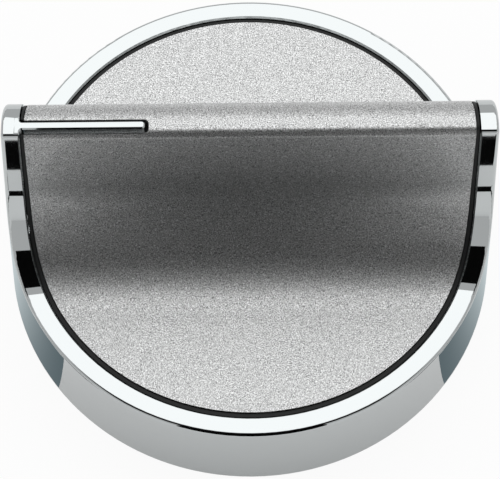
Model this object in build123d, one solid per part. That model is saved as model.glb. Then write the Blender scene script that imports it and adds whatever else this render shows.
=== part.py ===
from build123d import *
import math
import os

# Stove knob with an upright grip blade. Millimetres, +Z is the stem axis pointing out of the face.
# The origin is the centre of the rear rim, the blade runs along X and the pointer is at its -X end.

# Overall form
skirt_radius = 28.5
skirt_draft = 1.75
face_height = 12.0
crest_height = 32.6

# Side profile of the grip: feet of its two walls along Y, their lean, and the blends between them
grip_front_foot = -3.05
grip_front_lean = 6.7
grip_back_foot = 6.95
grip_back_lean = 6.7
crest_tilt = 5.0
crest_round = 4.0
sweep_radius = 11.2
back_blend = 5.0

# Bezel
ring_width = 2.28
bore_draft = 1.2
ring_edge = 0.45
ring_chamfer = 0.2
arm_edge = 0.55
seat_step = 0.65
seat_height = 9.0
key_count = 3
key_turn = 60.0
key_width = 2.4
key_depth = 0.8
bead_width = 9.0
bead_reach = 0.4
bead_height = 0.8
bead_top = 1.9

# Pointer bar on the left arm, and the slot around it
pointer_y = 0.7
pointer_width = 0.94
pointer_end = 11.6
pointer_depth = 1.2
pointer_edge = 0.15
pointer_corner = 0.35
pointer_flare = 0.3
pointer_root = 0.7
slot_gap_near = 0.5
slot_gap_far = 0.2
slot_gap_end = 0.45
slot_gap_floor = 0.4

# Face insert
line_gap = 0.62
insert_draft = 0.75
insert_recess = 0.1
insert_wall = 1.2
insert_crest_edge = 1.0
inner_crest_edge = 0.1
tab_inset = 5.2
tab_turn = 35.0
tab_width = 3.0
tab_thick = 1.2
hook_reach = 0.7
hook_height = 1.2
hook_lead = 0.5

# Core
fit_gap = 0.1
bond_gap = 0.05
core_wall = 1.6
core_skirt_wall = 2.0
core_bottom = 2.0
lip_gap = 0.08
lip_recess = 0.35
lip_rise = 0.15
grip_pocket_margin = 4.0
grip_pocket_front = 0.9
grip_pocket_back = 3.0
grip_pocket_top = 20.0
rib_count = 6
rib_turn = 30.0
rib_width = 1.2
rib_bottom = 6.0

# Hub and stem socket for a 6 mm D stem
hub_radius = 6.2
hub_bottom = 1.0
stem_radius = 3.0
stem_flat = 1.6
stem_gap = 0.05
stem_lead = 0.4
pilot_radius = 3.3
pilot_depth = 2.4
socket_top = 14.5

# Spring clip, a strip folded over the wall beside the stem's flat
clip_metal = 0.4
clip_bend = 0.3
clip_width = 3.2
clip_gap = 0.2
clip_wall = 1.2
clip_inner_leg = 8.0
clip_outer_leg = 6.0
clip_pocket = 1.3

# Overlap of a feature with the wall it grows from, overshoot of a cut, and the tolerance of a search
sink = 0.3
over = 1.0
near = 0.05

# Radii of the nested rings, and the angles at which keys, ribs and tabs stand
draft_slope = math.tan(math.radians(skirt_draft))
bore_slope = math.tan(math.radians(bore_draft))
insert_slope = math.tan(math.radians(insert_draft))
ring_bore_radius = skirt_radius - face_height * draft_slope - ring_width
seat_bore_radius = ring_bore_radius + seat_step
insert_radius = ring_bore_radius - line_gap
core_radius = ring_bore_radius - fit_gap
lip_radius = insert_radius + lip_gap
hollow_radius = core_radius - core_skirt_wall
reach = skirt_radius + crest_height
key_angles = [key_turn + index * 360 / key_count for index in range(key_count)]
rib_angles = [rib_turn + index * 360 / rib_count for index in range(rib_count)]
tab_angles = [side + turn for side in (90, 270) for turn in (-tab_turn, tab_turn)]


def drum(radius, bottom, top):
    return Pos(0, 0, bottom) * Cylinder(radius, top - bottom, align=(Align.CENTER, Align.CENTER, Align.MIN))


def block(x, y, z):
    corner = Pos(x[0], y[0], z[0])
    return corner * Box(x[1] - x[0], y[1] - y[0], z[1] - z[0], align=(Align.MIN, Align.MIN, Align.MIN))


def cone(low_radius, high_radius, bottom, top):
    shape = Cone(low_radius, high_radius, top - bottom, align=(Align.CENTER, Align.CENTER, Align.MIN))
    return Pos(0, 0, bottom) * shape


# Drafted round body with the given radius at the height of the face
def plug(radius, slope, bottom, top):
    return cone(radius - (bottom - face_height) * slope, radius - (top - face_height) * slope, bottom, top)


# Everything below the side profile, with its walls moved in by the inset and its crest lifted.
# The near corner of the crest is rounded by the edge radius, the far one by the crest's broad round.
def grip_block(inset, edge, lift=0.0):
    front_slope = math.tan(math.radians(grip_front_lean))
    back_slope = math.tan(math.radians(grip_back_lean))
    rise = math.tan(math.radians(crest_tilt))
    front = grip_front_foot + inset / math.cos(math.radians(grip_front_lean))
    back = grip_back_foot - inset / math.cos(math.radians(grip_back_lean))
    crest_y = grip_front_foot + (crest_height - face_height) * front_slope
    top = crest_height - inset / math.cos(math.radians(crest_tilt)) + lift
    blade = top - face_height - crest_y * rise
    front_top_y = (front + blade * front_slope) / (1 - rise * front_slope)
    back_top_y = (back - blade * back_slope) / (1 + rise * back_slope)
    front_foot = (front - inset * front_slope, face_height - inset)
    front_top = (front_top_y, top + (front_top_y - crest_y) * rise)
    back_top = (back_top_y, top + (back_top_y - crest_y) * rise)
    back_foot = (back + inset * back_slope, face_height - inset)
    outline = Polyline(
        (-reach, -reach),
        (-reach, face_height - inset),
        front_foot,
        front_top,
        back_top,
        back_foot,
        (reach, face_height - inset),
        (reach, -reach),
        close=True,
    )
    side = (Plane.YZ * make_face(outline)).face()
    near_turn = math.radians(90 - grip_front_lean - crest_tilt)
    far_turn = math.radians(90 - grip_back_lean + crest_tilt)
    free_top = math.dist(front_top, back_top) - edge * math.tan(near_turn / 2) - near
    blends = (
        (front_foot, sweep_radius + inset),
        (front_top, edge),
        (back_top, min(crest_round - inset, free_top / math.tan(far_turn / 2))),
        (back_foot, back_blend + inset),
    )
    for spot, radius in blends:
        corner = min(side.vertices(), key=lambda v: math.dist((v.Y, v.Z), spot))
        side = side.fillet_2d(radius, [corner])
    return extrude(side, amount=reach, both=True)


# Front edges of a shape that run along a drafted wall with the given radius at its base
def wall_edges(shape, radius, slope, base):
    found = []
    for edge in shape.edges():
        middle = edge.position_at(0.5)
        offset = math.hypot(middle.X, middle.Y) - radius + (middle.Z - base) * slope
        if middle.Z > face_height - near and abs(offset) < near:
            found.append(edge)
    return found


# Bezel: a drafted tube cut off by the side profile, so the arms are its wall carried up to the crest
arm_block = grip_block(0, arm_edge)
crest_top = arm_block.bounding_box().max.Z
arm_bore_radius = ring_bore_radius - (crest_top - face_height) * bore_slope
shell = cone(skirt_radius, skirt_radius - crest_top * draft_slope, 0, crest_top) & arm_block
shell -= plug(ring_bore_radius, bore_slope, -over, crest_top + over)
bezel = fillet(wall_edges(shell, skirt_radius, draft_slope, 0), ring_edge)
bezel = chamfer(wall_edges(bezel, ring_bore_radius, bore_slope, face_height), ring_chamfer)
bezel -= drum(seat_bore_radius, -over, seat_height)
bead_ring = drum(seat_bore_radius + sink, bead_top - bead_height, bead_top)
bead_ring -= drum(seat_bore_radius - bead_reach, -over, seat_height)
for angle in key_angles:
    key = block(
        (seat_bore_radius - key_depth, seat_bore_radius + sink),
        (-key_width / 2, key_width / 2),
        (core_bottom, seat_height),
    )
    bezel += Rot(0, 0, angle) * key
    window = block((0, reach), (-bead_width / 2, bead_width / 2), (0, seat_height))
    bezel += Rot(0, 0, angle - key_turn) * (bead_ring & window)

# Pointer: a bar with a rounded end and flared root, level with the top of the crest
bar_length = arm_bore_radius + pointer_root - pointer_end
root_width = pointer_width + 2 * (pointer_flare + sink)
from_right = (Align.MAX, Align.CENTER)
plan = Pos(-pointer_end, pointer_y) * Rectangle(bar_length, pointer_width, align=from_right)
plan += Pos(-arm_bore_radius, pointer_y) * Rectangle(pointer_root, root_width, align=from_right)
bar_sides = [v for v in plan.vertices() if abs(v.Y - pointer_y) < pointer_width / 2 + near]
plan = fillet([v for v in bar_sides if v.X < -pointer_end - near], pointer_flare)
plan = fillet(plan.vertices().group_by(Axis.X)[-1], pointer_corner)
bar = Pos(0, 0, crest_top - pointer_depth) * extrude(plan, amount=pointer_depth)
bezel += chamfer(bar.faces().sort_by(Axis.Z)[-1].edges(), pointer_edge)

# Slot for the pointer, cut through the insert's crest and the lip of the core
pointer_half = pointer_width / 2
slot_box = block(
    (-arm_bore_radius, slot_gap_end - pointer_end),
    (pointer_y - pointer_half - slot_gap_near, pointer_y + pointer_half + slot_gap_far),
    (crest_top - pointer_depth - slot_gap_floor, crest_top + over),
)
slot_end = slot_box.faces().sort_by(Axis.X)[-1]
slot = fillet(slot_end.edges().filter_by(Axis.Z), pointer_corner + slot_gap_far)

# Face insert: a shell of even wall with tabs that pass through the core and hook behind it
skin = plug(insert_radius, insert_slope, 0, crest_top + over) & grip_block(insert_recess, insert_crest_edge)
insert_inside = insert_recess + insert_wall
face_insert = skin - grip_block(insert_inside, inner_crest_edge) - slot
core_inset = insert_inside + bond_gap
web_back = face_height - core_inset - core_wall
tab_front = insert_radius - tab_inset
tab_back = tab_front + tab_thick
tab_half = tab_width / 2
hook_bottom = web_back - hook_height
tab = block((tab_front, tab_back), (-tab_half, tab_half), (hook_bottom, face_height - insert_inside + sink))
hook = block((tab_front - hook_reach, tab_back), (-tab_half, tab_half), (hook_bottom, web_back))
hook_nose = hook.edges().filter_by(Axis.Y).group_by(Axis.X)[0].sort_by(Axis.Z)[0]
tab += chamfer(hook_nose, hook_lead)
for angle in tab_angles:
    face_insert += Rot(0, 0, angle) * tab

# Core: lip, seat for the insert, shoulder under the bezel's step, hollow back with ribs and hub
seat_block = grip_block(core_inset, inner_crest_edge)
core = plug(lip_radius, insert_slope, core_bottom, crest_top) & seat_block
lip = plug(core_radius, bore_slope, core_bottom, crest_top + over)
lip -= plug(lip_radius, insert_slope, 0, crest_top + 2 * over)
core += lip & grip_block(lip_recess, arm_edge, lip_recess + lip_rise)
shoulder = drum(seat_bore_radius - fit_gap, core_bottom, seat_height - bond_gap)
core += shoulder - drum(lip_radius, 0, seat_height)
core -= drum(hollow_radius, 0, web_back)
pocket_end = core_radius - grip_pocket_margin
core -= block((-pocket_end, pocket_end), (grip_pocket_front, grip_pocket_back), (0, grip_pocket_top))
ribs = drum(hub_radius, hub_bottom, crest_top)
for angle in rib_angles:
    rib = block((0, hollow_radius + sink), (-rib_width / 2, rib_width / 2), (rib_bottom, crest_top))
    ribs += Rot(0, 0, angle) * rib
core += ribs & seat_block
core -= slot_box
notch_floor = seat_bore_radius - key_depth - fit_gap
notch_half = key_width / 2 + fit_gap
notch = block((notch_floor, reach), (-notch_half, notch_half), (0, seat_height + over))
for angle in key_angles:
    core -= Rot(0, 0, angle) * notch
tab_slot = block(
    (tab_front - bond_gap, tab_back + bond_gap),
    (-tab_half - bond_gap, tab_half + bond_gap),
    (web_back - over, face_height),
)
for angle in tab_angles:
    core -= Rot(0, 0, angle) * tab_slot

# Stem socket: lead-in and round pilot at the mouth, D section above it
flat_y = stem_flat + stem_gap
pilot_bottom = hub_bottom + stem_lead
pilot_top = pilot_bottom + pilot_depth
socket = drum(stem_radius + stem_gap, hub_bottom, socket_top)
socket -= block((-hub_radius, hub_radius), (flat_y, hub_radius), (0, crest_top))
socket += drum(pilot_radius, hub_bottom - over, pilot_top)
socket += cone(pilot_radius + stem_lead, pilot_radius, hub_bottom, pilot_bottom)
core -= socket

# Clip and the pocket it is pushed into from the mouth; its inner leg stands in for the stem's flat
wall_front = flat_y + clip_metal
wall_back = wall_front + clip_wall
clip_half = clip_width / 2
pocket_half = clip_half + clip_gap
clip_bottom = pilot_top
clip_top = clip_bottom + clip_inner_leg
clip_wall_end = clip_bottom + clip_metal + clip_bend
pocket_back = wall_back + clip_pocket
core -= block((-pocket_half, pocket_half), (0, wall_front), (clip_bottom, clip_top + clip_gap))
core -= block((-pocket_half, pocket_half), (wall_back, pocket_back), (hub_bottom - over, clip_top))
core -= block((-pocket_half, pocket_half), (0, pocket_back), (hub_bottom - over, clip_wall_end))


# Upright block across the clip's width whose two lower edges are rounded by the bend
def folded_block(y, z, bend):
    shape = block((-clip_half, clip_half), y, z)
    return fillet(shape.faces().sort_by(Axis.Z)[0].edges().filter_by(Axis.X), bend)


stem_clip = folded_block((flat_y, wall_back + clip_metal), (clip_bottom, clip_top), clip_bend + clip_metal)
stem_clip -= folded_block((wall_front, wall_back), (clip_bottom + clip_metal, clip_top + over), clip_bend)
outer_top = clip_bottom + clip_outer_leg
stem_clip -= block((-clip_half, clip_half), (wall_back, pocket_back), (outer_top, clip_top))

nodes = {"bezel": bezel, "face_insert": face_insert, "core": core, "stem_clip": stem_clip}
os.makedirs("parts", exist_ok=True)
for name, node in nodes.items():
    export_step(node, f"parts/{name}.step")
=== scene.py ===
import bpy
import bmesh
import math
from mathutils import Matrix, Vector

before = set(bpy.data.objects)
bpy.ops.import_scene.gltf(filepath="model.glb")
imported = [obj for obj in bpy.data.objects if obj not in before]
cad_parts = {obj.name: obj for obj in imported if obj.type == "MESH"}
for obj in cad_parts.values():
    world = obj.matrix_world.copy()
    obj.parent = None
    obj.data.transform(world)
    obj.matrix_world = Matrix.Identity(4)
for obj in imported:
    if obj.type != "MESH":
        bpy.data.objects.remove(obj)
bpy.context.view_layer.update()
print("frame loaded:", sorted(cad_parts))

# Photograph's viewpoint: the lens looks down at the knob from the near side of its blade
view = {
    "elevation": 64.2,  # degrees above the table
    "azimuth": -0.6,
    "distance": 0.3376,  # from the middle of the face
    "faceHeight": 0.012,
    "drop": 0.00335,  # the frame's middle lies this far below the middle of the face
    "lens": 208.4,
    "sensor": 36.0,
    "clip": (0.01, 20),
}


def addCamera():
    tilt = math.radians(view["elevation"])
    turn = math.radians(view["azimuth"])
    out = Vector((math.sin(turn) * math.cos(tilt), -math.cos(turn) * math.cos(tilt), math.sin(tilt)))
    up = Vector((-math.sin(turn) * math.sin(tilt), math.cos(turn) * math.sin(tilt), math.cos(tilt)))
    middle = Vector((0, 0, view["faceHeight"]))
    data = bpy.data.cameras.new("photoCamera")
    data.sensor_width = view["sensor"]
    data.lens = view["lens"]
    data.clip_start, data.clip_end = view["clip"]
    cam = bpy.data.objects.new("photoCamera", data)
    cam.location = middle + out * view["distance"]
    aim = middle - up * view["drop"] - cam.location
    cam.rotation_euler = aim.to_track_quat("-Z", "Y").to_euler()
    bpy.context.scene.collection.objects.link(cam)
    bpy.context.scene.camera = cam


def newMaterial(name):
    mat = bpy.data.materials.new(name)
    mat.use_nodes = True
    nodes = mat.node_tree.nodes
    return mat, nodes, mat.node_tree.links, nodes["Principled BSDF"]


# Math node fed by sockets or plain numbers, whichever is given
def mathNode(nodes, links, operation, *values):
    node = nodes.new("ShaderNodeMath")
    node.operation = operation
    for socket, value in zip(node.inputs, values):
        if isinstance(value, bpy.types.NodeSocket):
            links.new(value, socket)
        else:
            socket.default_value = value
    return node.outputs[0]


# Mix node for colours: its factor, its two colours and its result
def mixColours(nodes, blend):
    mix = nodes.new("ShaderNodeMix")
    mix.data_type = "RGBA"
    mix.blend_type = blend
    return mix.inputs[0], mix.inputs[6], mix.inputs[7], mix.outputs[2]


# Fine speckle shared by the coated, moulded and rolled surfaces: a tone around 1 and a height
flecks = {"detail": 2.0, "roughness": 0.6, "middle": 0.5, "depth": 0.0001}  # depth of the bump in metres


def speckleGroup():
    group = bpy.data.node_groups.new("speckle", "ShaderNodeTree")
    for name, way in (("Size", "INPUT"), ("Contrast", "INPUT"), ("Tone", "OUTPUT"), ("Height", "OUTPUT")):
        group.interface.new_socket(name, in_out=way, socket_type="NodeSocketFloat")
    nodes, links = group.nodes, group.links
    inputs = nodes.new("NodeGroupInput")
    outputs = nodes.new("NodeGroupOutput")
    place = nodes.new("ShaderNodeTexCoord")
    noise = nodes.new("ShaderNodeTexNoise")
    noise.inputs["Detail"].default_value = flecks["detail"]
    noise.inputs["Roughness"].default_value = flecks["roughness"]
    links.new(place.outputs["Object"], noise.inputs["Vector"])
    links.new(inputs.outputs["Size"], noise.inputs["Scale"])
    centred = mathNode(nodes, links, "SUBTRACT", noise.outputs["Fac"], flecks["middle"])
    tone = mathNode(nodes, links, "MULTIPLY_ADD", centred, inputs.outputs["Contrast"], 1)
    links.new(tone, outputs.inputs["Tone"])
    links.new(noise.outputs["Fac"], outputs.inputs["Height"])
    return group


def addSpeckle(nodes, speckle, finish):
    grain = nodes.new("ShaderNodeGroup")
    grain.node_tree = speckle
    grain.inputs["Size"].default_value = finish["grain"]
    return grain


def tintBySpeckle(nodes, links, shader, grain, finish):
    grain.inputs["Contrast"].default_value = finish["contrast"]
    factor, colour, tone, result = mixColours(nodes, "MULTIPLY")
    factor.default_value = 1
    colour.default_value = finish["colour"]
    links.new(grain.outputs["Tone"], tone)
    links.new(result, shader.inputs["Base Color"])


def bumpBySpeckle(nodes, links, shader, grain, finish):
    bump = nodes.new("ShaderNodeBump")
    bump.inputs["Strength"].default_value = finish["bump"]
    bump.inputs["Distance"].default_value = flecks["depth"]
    links.new(grain.outputs["Height"], bump.inputs["Height"])
    links.new(bump.outputs["Normal"], shader.inputs["Normal"])


satin = {
    "colour": (0.5, 0.505, 0.505, 1),
    "roughness": 0.46,
    "grain": 8000,  # flakes per metre
    "contrast": 4.1,
    "bump": 0.12,
    "coat": 0.5,
    "coatRoughness": 0.12,
}


def satinSilver(speckle):
    mat, nodes, links, shader = newMaterial("satinSilver")
    grain = addSpeckle(nodes, speckle, satin)
    tintBySpeckle(nodes, links, shader, grain, satin)
    bumpBySpeckle(nodes, links, shader, grain, satin)
    shader.inputs["Metallic"].default_value = 1
    shader.inputs["Roughness"].default_value = satin["roughness"]
    shader.inputs["Coat Weight"].default_value = satin["coat"]
    shader.inputs["Coat Roughness"].default_value = satin["coatRoughness"]
    return mat


plating = {
    "colour": (0.55, 0.575, 0.578, 1),
    "roughness": 0.03,
    "unevenness": 0.4,  # share by which the roughness rises and falls
    "patches": 120,  # per metre
}


def brightPlating():
    mat, nodes, links, shader = newMaterial("brightPlating")
    place = nodes.new("ShaderNodeTexCoord")
    noise = nodes.new("ShaderNodeTexNoise")
    noise.inputs["Scale"].default_value = plating["patches"]
    links.new(place.outputs["Object"], noise.inputs["Vector"])
    span = nodes.new("ShaderNodeMapRange")
    span.inputs["To Min"].default_value = plating["roughness"] * (1 - plating["unevenness"])
    span.inputs["To Max"].default_value = plating["roughness"] * (1 + plating["unevenness"])
    links.new(noise.outputs["Fac"], span.inputs["Value"])
    links.new(span.outputs[0], shader.inputs["Roughness"])
    shader.inputs["Base Color"].default_value = plating["colour"]
    shader.inputs["Metallic"].default_value = 1
    return mat


moulding = {
    "colour": (0.01, 0.011, 0.011, 1),
    "roughness": 0.5,
    "specular": 0.25,
    "grain": 9000,
    "bump": 0.2,
}


def blackMoulding(speckle):
    mat, nodes, links, shader = newMaterial("blackMoulding")
    bumpBySpeckle(nodes, links, shader, addSpeckle(nodes, speckle, moulding), moulding)
    shader.inputs["Base Color"].default_value = moulding["colour"]
    shader.inputs["Roughness"].default_value = moulding["roughness"]
    shader.inputs["Specular IOR Level"].default_value = moulding["specular"]
    return mat


steel = {"colour": (0.5, 0.5, 0.5, 1), "roughness": 0.3, "grain": 3000, "contrast": 0.4}


def springSteel(speckle):
    mat, nodes, links, shader = newMaterial("springSteel")
    tintBySpeckle(nodes, links, shader, addSpeckle(nodes, speckle, steel), steel)
    shader.inputs["Metallic"].default_value = 1
    shader.inputs["Roughness"].default_value = steel["roughness"]
    return mat


# Studio: a pale table, a wide softbox behind and above the knob, a black card above the lens,
# a black flag in front, and painted shadow patches on the table beside the knob that the plating mirrors
def stagePiece(name, bm, mat):
    mesh = bpy.data.meshes.new(name)
    bm.to_mesh(mesh)
    bm.free()
    mesh.materials.append(mat)
    piece = bpy.data.objects.new(name, mesh)
    bpy.context.scene.collection.objects.link(piece)
    return piece


def rectangle(span, place):
    bm = bmesh.new()
    bmesh.ops.create_grid(bm, x_segments=1, y_segments=1, size=0.5)  # 1 m to a side
    bmesh.ops.scale(bm, vec=(*span, 1), verts=bm.verts)
    bmesh.ops.transform(bm, matrix=place, verts=bm.verts)
    return bm


# Spot above the knob, leaned from straight up towards the lens, and the turn that faces the knob
def leanedPlace(lean, distance):
    spot = Vector((0, -math.sin(math.radians(lean)), math.cos(math.radians(lean)))) * distance
    return spot, (-spot).to_track_quat("-Z", "Y")


table = {
    "span": (6, 6),
    "drop": 0.00005,  # keeps its top clear of the knob's rim
    "colour": (0.9, 0.9, 0.9, 1),
    "roughness": 0.9,
    "lensGlow": 0.92,  # how far it is lifted to white for the lens
    "mirrorGlow": 0.28,  # and where the plating mirrors it
}


def paleTable():
    mat, nodes, links, shader = newMaterial("paleTable")
    shader.inputs["Base Color"].default_value = table["colour"]
    shader.inputs["Roughness"].default_value = table["roughness"]
    ray = nodes.new("ShaderNodeLightPath").outputs
    seen = mathNode(nodes, links, "MAXIMUM", ray["Is Glossy Ray"], ray["Is Transmission Ray"])
    mirrored = mathNode(nodes, links, "MULTIPLY", seen, table["mirrorGlow"])
    share = mathNode(nodes, links, "MULTIPLY_ADD", ray["Is Camera Ray"], table["lensGlow"], mirrored)
    glow = nodes.new("ShaderNodeEmission")
    mix = nodes.new("ShaderNodeMixShader")
    for source, socket in zip((share, shader.outputs[0], glow.outputs[0]), mix.inputs):
        links.new(source, socket)
    links.new(mix.outputs[0], nodes["Material Output"].inputs["Surface"])
    return mat


def addTable():
    place = Matrix.Translation((0, 0, -table["drop"]))
    stagePiece("table", rectangle(table["span"], place), paleTable())


stageSheets = {"black": (0.004, 0.004, 0.004, 1), "lift": 0.0002}  # lift of the flag's foot and the painted shadow patches above the rim's level


# Black for the studio flags and for the painted shadow patches beside the arms
def blackFlagAndShadow():
    mat, *_, shader = newMaterial("blackFlagAndShadow")
    shader.inputs["Base Color"].default_value = stageSheets["black"]
    shader.inputs["Roughness"].default_value = 1
    shader.inputs["Specular IOR Level"].default_value = 0
    return mat


overheadCard = {"lean": 31, "distance": 0.75, "span": (1.3, 0.576)}  # lean in degrees


def addOverheadCard(mat):
    spot, turn = leanedPlace(overheadCard["lean"], overheadCard["distance"])
    place = Matrix.Translation(spot) @ turn.to_matrix().to_4x4()
    return stagePiece("overheadCard", rectangle(overheadCard["span"], place), mat)


# Upright flag in front of the knob, with a short foot on the table
frontFlag = {"half": 0.029, "foot": (-0.066, -0.07), "height": 0.082}


def addFrontFlag(mat):
    bm = bmesh.new()
    near, far = frontFlag["foot"]
    ends = [bm.verts.new((side * frontFlag["half"], near, stageSheets["lift"])) for side in (-1, 1)]
    edge = bm.edges.new(ends)
    for step in ((0, far - near, 0), (0, 0, frontFlag["height"])):
        made = bmesh.ops.extrude_edge_only(bm, edges=[edge])["geom"]
        edge = next(g for g in made if isinstance(g, bmesh.types.BMEdge))
        bmesh.ops.translate(bm, vec=step, verts=list(edge.verts))
    return stagePiece("frontFlag", bm, mat)


# Black patches on the table beside the arms: painted shadow, seen only in the plating's reflections
armPaintedShadow = {"across": (0.0265, 0.14), "along": (-0.0279, -0.0231)}
# Patches beside the barrel: glowing painted shadow, seen only in the plating's reflections
barrelPaintedShadow = {
    "across": (0.02, 0.036),
    "along": (-0.0172, 0.002),
    "fade": (-0.0182, 0.002),  # along it, from the painted shadow's dark tone to the table's tone
    "shadowTone": (0.145, 0.187, 0.205, 1),
    "pale": (0.62, 0.69, 0.71, 1),
}


# Glowing painted shadow: a bluish dark tone at its near edge that fades into the table's tone
def glowingPaintedShadow():
    mat, nodes, links, shader = newMaterial("glowingPaintedShadow")
    nodes.remove(shader)
    place = nodes.new("ShaderNodeTexCoord")
    split = nodes.new("ShaderNodeSeparateXYZ")
    links.new(place.outputs["Object"], split.inputs[0])
    fade = nodes.new("ShaderNodeMapRange")
    fade.interpolation_type = "SMOOTHSTEP"
    fade.inputs["From Min"].default_value, fade.inputs["From Max"].default_value = barrelPaintedShadow["fade"]
    links.new(split.outputs["Y"], fade.inputs["Value"])
    factor, shadowTone, pale, result = mixColours(nodes, "MIX")
    shadowTone.default_value = barrelPaintedShadow["shadowTone"]
    pale.default_value = barrelPaintedShadow["pale"]
    links.new(fade.outputs[0], factor)
    glow = nodes.new("ShaderNodeEmission")
    links.new(result, glow.inputs["Color"])
    links.new(glow.outputs[0], nodes["Material Output"].inputs["Surface"])
    return mat


# One painted shadow patch to the left of the knob and one to the right
def addPaintedShadows(name, patch, mat):
    inner, outer = patch["across"]
    near, far = patch["along"]
    pieces = []
    for end, side in (("Left", -1), ("Right", 1)):
        middle = Matrix.Translation((side * (inner + outer) / 2, (near + far) / 2, stageSheets["lift"]))
        pieces.append(stagePiece(name + end, rectangle((outer - inner, far - near), middle), mat))
    return pieces


softbox = {"lean": -24, "distance": 0.75, "span": (1.26, 0.73), "power": 3.0}  # minus is away from the lens


def addSoftbox():
    data = bpy.data.lights.new("softbox", "AREA")
    data.shape = "RECTANGLE"
    data.size, data.size_y = softbox["span"]
    data.energy = softbox["power"]
    lamp = bpy.data.objects.new("softbox", data)
    lamp.location, turn = leanedPlace(softbox["lean"], softbox["distance"])
    lamp.rotation_euler = turn.to_euler()
    bpy.context.scene.collection.objects.link(lamp)


sky = {"colour": (0.62, 0.62, 0.62, 1)}


def addSky():
    world = bpy.data.worlds.new("studio")
    world.use_nodes = True
    world.node_tree.nodes["Background"].inputs["Color"].default_value = sky["colour"]
    bpy.context.scene.world = world


addCamera()
print("camera set")

speckle = speckleGroup()
finishes = {
    "bezel": brightPlating(),
    "face_insert": satinSilver(speckle),
    "core": blackMoulding(speckle),
    "stem_clip": springSteel(speckle),
}
for name, mat in finishes.items():
    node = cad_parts[name]
    node.data.materials.clear()
    node.data.materials.append(mat)
print("finishes set")

addTable()
black = blackFlagAndShadow()
flagsAndPaintedShadows = [addOverheadCard(black), addFrontFlag(black)]
flagsAndPaintedShadows += addPaintedShadows("armPaintedShadow", armPaintedShadow, black)
flagsAndPaintedShadows += addPaintedShadows("barrelPaintedShadow", barrelPaintedShadow, glowingPaintedShadow())
for hiddenPiece in flagsAndPaintedShadows:  # only reflections show the flags and the painted shadow patches
    hiddenPiece.visible_camera = False
    hiddenPiece.visible_diffuse = False
    hiddenPiece.visible_shadow = False
addSoftbox()
addSky()
bpy.context.scene.view_settings.view_transform = "Standard"
print("studio set")
